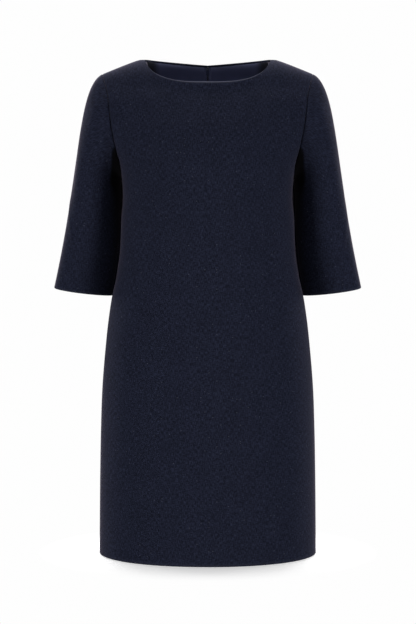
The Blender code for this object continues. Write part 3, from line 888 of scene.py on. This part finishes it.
facingCut = {
    "centre": 6.5,            # its edge stands this far from the back seam
    "below": 3.3,             # and this far below the neck edge
    "outerTurn": math.radians(56),
    "bottomWay": 0.555,
    "face": 4.0,              # how far inside the dress its face lies
    "wall": 0.5,
    "edgeDip": 0.55,          # its edges curl towards the wool by this much
    "edgeReach": 0.7,
    "stitchBelow": 7.0,       # understitching, below the neck edge
    "stitchDimple": 0.3,
    "stitchHalf": 1.1,
    "pale": 0.85,             # of its top edge, and how far down that reaches
    "paleReach": 7.0,
    "dark": 0.95,             # painted shade at its outer ends, and the x over which that comes in
    "darkOver": (84, 98),
}
stitch = {
    "pitch": 2.7,
    "size": (1.0, 0.24, 0.2),            # half its length, width and thickness
    "proud": 0.08,            # of the facing
    "ends": (0.07, 0.01),     # turn left bare at the back seam and at the neck point
}


def facingInset(fromTop, fromSide, fromBottom):
    # Flat face, edges dipping by exp(-d/reach), and a dimple along the understitching
    reach = facingCut["edgeReach"]
    edges = np.exp(-fromTop / reach) + np.exp(-fromSide / reach) + np.exp(-fromBottom / reach)
    stitches = fromTop - (facingCut["stitchBelow"] - facingCut["below"])
    dimple = facingCut["stitchDimple"] * np.exp(-(stitches / facingCut["stitchHalf"]) ** 2)
    return facingCut["face"] - facingCut["edgeDip"] * np.minimum(edges, 1) - dimple


def facingPiece(name, hand):
    # Its columns and rows crowd near the edges that curl, this many mm in
    nearSide = np.array((0, 0.25, 0.6, 1.1, 1.8))
    nearTop = np.array((0, 0.25, 0.6, 1.1, 1.8, 2.6, 3.4, 4.2, 5.2))
    turnSide = turnFromCentre("back", np.array(0.3), facingCut["centre"] + nearSide)
    turn = np.r_[turnSide, np.linspace(turnSide[-1], facingCut["outerTurn"], 64)[1:]]
    distance = facingCut["below"] + nearTop[:, None] * np.ones(len(turn))
    wayNear = wayDown("back", turn, distance)
    down = np.linspace(0, 1, 40)[1:, None]
    wayRest = wayNear[-1] + (facingCut["bottomWay"] - wayNear[-1]) * down
    way = np.concatenate((wayNear, wayRest))
    turn = np.broadcast_to(turn, way.shape)
    bare = bodyPoint("back", turn, way)
    edge = bodyPoint("back", turn[0], 0.0)
    fromTop = np.linalg.norm(bare - edge, axis=-1) - facingCut["below"]
    fromSide = np.abs(bare[..., 0]) - facingCut["centre"]
    fromBottom = np.linalg.norm(bare - bare[-1], axis=-1)
    inset = facingInset(np.maximum(fromTop, 0), np.maximum(fromSide, 0), fromBottom)
    points = onBody("back", hand * turn, way, inset)
    made = clothPiece(name, points, facingCut["wall"], satinFinish, flipped=hand < 0)
    markRow(made, points, 0, facingCut["pale"], facingCut["paleReach"])
    shadeDeep(made, smooth(np.abs(points[..., 0]), *facingCut["darkOver"]) * facingCut["dark"])
    return made, points


def beads(name, centres, along, up, size, material):
    # One small rounded stitch copied to every centre: a lengthwise ellipsoid, turned by its own axes
    u = np.linspace(0, math.pi, 6)[:, None]
    v = np.linspace(0, 2 * math.pi, 7)[None, :-1]
    shape = np.stack((-np.cos(u) + 0 * v, np.sin(u) * np.cos(v), np.sin(u) * np.sin(v)), axis=-1) * size
    side = np.cross(along, up)
    axes = np.stack((along, side, up), axis=1)
    points = centres[:, None, None] + np.einsum("uvk,nkc->nuvc", shape, axes)
    quads = quadsOf(shape.shape[:2], closed=True)
    each = shape.shape[0] * shape.shape[1]
    quads = quads.reshape(1, -1, 4) + (np.arange(len(centres)) * each)[:, None, None]
    return addMesh(name, points, quads, material)


def understitching(name, hand):
    # Stitches an even walk apart along the facing, just below the neck edge
    nearCentre, nearNeck = stitch["ends"]
    turns = np.linspace(nearCentre, neckTurn - nearNeck, 600)
    ways = wayDown("back", turns, np.full_like(turns, facingCut["stitchBelow"]))
    lift = facingCut["face"] - facingCut["stitchDimple"]
    line = onBody("back", hand * turns, ways, lift + stitch["proud"])
    walked = walk(line)
    at = np.arange(stitch["pitch"], walked[-1], stitch["pitch"])
    centres = np.stack([np.interp(at, walked, line[:, k]) for k in range(3)], axis=-1)
    along = unit(np.stack([np.interp(at, walked, np.gradient(line[:, k])) for k in range(3)], axis=-1))
    inside = -bodyNormal("back", hand * np.interp(at, walked, turns), np.interp(at, walked, ways))
    up = unit(inside - along * (inside * along).sum(axis=-1, keepdims=True))
    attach(beads(name, centres, along, up, stitch["size"], threadFinish), "dress")


for name, hand in hands:
    facing, facingPoints = facingPiece("facing_" + name, hand)
    declareCloth(facing, facingPoints, "neck_facing_" + name)
for name, hand in hands:
    understitching("understitch_" + name, hand)
print("facings made")

zipCut = {
    "inner": 1.0,             # tape, from the seam
    "outer": 12.0,
    "face": 3.0,
    "wall": 0.6,
    "tapeBelow": 2.2,         # the tape's top, below the neck edge
    "coilBelow": 2.6,
    "bottomWay": 1.417,
    "pitch": 1.25,            # of the coil
    "coilOut": 0.85,          # the coil's middle, from the seam
    "coilHalf": 1.0,
    "coilRise": 0.62,
    "coilLift": 0.3,          # of the wire off the tape
    "wire": 0.27,
}


def tapePiece(name, hand):
    x = np.array((zipCut["inner"], 1.4, 2.2, 3.4, 5.0, 7.0, 9.0, 11.0, zipCut["outer"]))
    top = float(wayDown("back", np.array(0.0), np.array(zipCut["tapeBelow"])))
    way = np.linspace(top, zipCut["bottomWay"], 150)[:, None] + 0 * x
    turn = turnFromCentre("back", way, x)
    points = onBody("back", hand * turn, way, zipCut["face"])
    return clothPiece(name, points, zipCut["wall"], tapeFinish, flipped=hand < 0), points


def tube(name, path, radius, sides, material):
    # A round profile carried along a path, square to it, with its two ends drawn in to close them
    along = unit(np.gradient(path, axis=0))
    first = unit(np.cross(along, (0.3, 0.2, 1.0)))
    second = np.cross(along, first)
    angle = np.linspace(0, 2 * math.pi, sides + 1)[:-1]
    thick = np.full(len(path), radius)
    thick[[0, -1]] = radius * 0.02
    ring = np.cos(angle)[:, None] * first[:, None] + np.sin(angle)[:, None] * second[:, None]
    points = path[:, None] + ring * thick[:, None, None]
    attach(addMesh(name, points, quadsOf(points.shape[:2], closed=True), material), "dress")


def coil(name, hand):
    # A wire winding along the tape's edge: a flattened helix, half a pitch apart on the two sides
    top = float(wayDown("back", np.array(0.0), np.array(zipCut["coilBelow"])))
    way = np.linspace(top, zipCut["bottomWay"] - 0.003, 4000)
    walked = walk(onBody("back", 0.0, way, 0.0))
    turns = int(walked[-1] / zipCut["pitch"])
    at = np.linspace(0, walked[-1], turns * 9)
    angle = 2 * math.pi * (at / zipCut["pitch"] + (0.5 if hand > 0 else 0))
    way = np.interp(at, walked, way)
    x = zipCut["coilOut"] + zipCut["coilHalf"] * np.cos(angle)
    inset = zipCut["face"] + zipCut["coilRise"] + zipCut["coilLift"] + zipCut["coilRise"] * np.sin(angle)
    drop = originDrop - bodyPoint("back", 0.0, way)[..., 2]
    path = onBody("back", hand * np.arcsin(x / edgeHalfWidth("back", drop)), way, inset)
    tube(name, path, zipCut["wire"], 5, nylonFinish)


for name, hand in hands:
    tape, tapePoints = tapePiece("tape_" + name, hand)
    declareCloth(tape, tapePoints, "zip_tape_" + name)
for name, hand in hands:
    coil("coil_" + name, hand)
for node, finish in (("zip_slider", sliderPaintedLightFinish), ("zip_pull", pullFinish)):
    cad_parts[node].data.materials.clear()
    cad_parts[node].data.materials.append(finish)
print("zip made")

studio = {
    "floorBelow": 0.0004,
    "backdrop": 0.99,         # what the camera sees behind
    "dome": 0.09,             # light from all round
    "floorNear": 0.38,        # the floor's own glow by the dress, where its shadow falls, painted light that lightens that shadow
    "fadeHalf": (0.165, 0.125),          # m, the oval at whose rim the floor starts to fade, painting the soft outer edge of the dress's shadow
    "fadeTo": 1.9,            # and how many times larger the oval is that ends the fade
    "camera": (0.0005, -4.2, 0.0683),
    "target": (0.0005, 0.0, -0.4387),
    "lens": 135.61,
}


def floorPlane(height):
    # White paper by the dress that fades into the backdrop, and throws no light back up; the fade paints
    # the soft edge of the dress's shadow
    size = 30
    corners = np.array(((-size, -size), (size, -size), (size, size), (-size, size)), float)
    points = np.concatenate((corners, np.full((4, 1), height)), axis=1) / mm
    made, shader, place = newFinish("floor_white", {
        "Roughness": 0.9, "Specular IOR Level": 0.0, "Emission Strength": 1.0})
    halfX, halfY = studio["fadeHalf"]
    oval = place.node("VectorMath", {"operation": "MULTIPLY"}, {0: place, 1: (1 / halfX, 1 / halfY, 0)})
    distance = place.node("VectorMath", {"operation": "LENGTH"}, {0: oval}, 1)
    away = place.node("MapRange", {"interpolation_type": "SMOOTHSTEP"},
                      {"Value": distance, "From Min": 1.0, "From Max": studio["fadeTo"]})
    paper, none = rgba((0.95, 0.95, 0.955)), rgba((0, 0, 0))
    glow, backdrop = rgba((1, 1, 1), studio["floorNear"]), rgba((1, 1, 1), studio["backdrop"])
    plug(shader, "Base Color", away.tint(paper, none))
    plug(shader, "Emission Color", away.tint(glow, backdrop))
    floor = addMesh("floor", points, np.array([[0, 1, 2, 3]]), made)
    floor.visible_diffuse = False
    floor.visible_glossy = False


def aimAt(made, place, target):
    # Puts a light or camera at one place, facing another
    made.location = place
    made.rotation_euler = (Vector(target) - Vector(place)).to_track_quat("-Z", "Y").to_euler()
    bpy.context.scene.collection.objects.link(made)


def softLight(name, place, target, size, power):
    lamp = bpy.data.lights.new(name, "AREA")
    lamp.shape = "RECTANGLE"
    lamp.size, lamp.size_y = size
    lamp.energy = power
    aimAt(bpy.data.objects.new(name, lamp), place, target)


def paleWorld():
    # A white backdrop for the camera, and a dimmer dome of light on everything else
    world = bpy.data.worlds.new("studio")
    world.use_nodes = True
    background = world.node_tree.nodes["Background"]
    background.inputs["Color"].default_value = (1, 1, 1, 1)
    seen = Wire(world.node_tree).node("LightPath")
    strength = seen * (studio["backdrop"] - studio["dome"]) + studio["dome"]
    plug(background, "Strength", strength)
    bpy.context.scene.world = world
    bpy.context.scene.view_settings.view_transform = "Standard"


paleWorld()
hemHeight = (originDrop - cut["length"]) * mm
floorPlane(hemHeight - studio["floorBelow"])
softLight("overhead", (0, 1.3, 2.3), (0, 0, -0.4), (2.4, 1.4), 185)
softLight("front_fill", (0, -4.4, 0.9), (0, 0, -0.3), (2.0, 1.4), 30)
for name, x in (("left", -2.5), ("right", 2.5)):
    softLight(name + "_side", (x, -1.65, -0.5), (0, 0, -0.5), (0.8, 0.75), 50)
    softLight(name + "_back", (x, 1.7, -0.2), (0, 0, -0.5), (0.8, 1.0), 34)

camera = bpy.data.objects.new("camera", bpy.data.cameras.new("camera"))
camera.data.lens = studio["lens"]
camera.data.sensor_width = 36
aimAt(camera, studio["camera"], studio["target"])
bpy.context.scene.camera = camera
print("studio made")
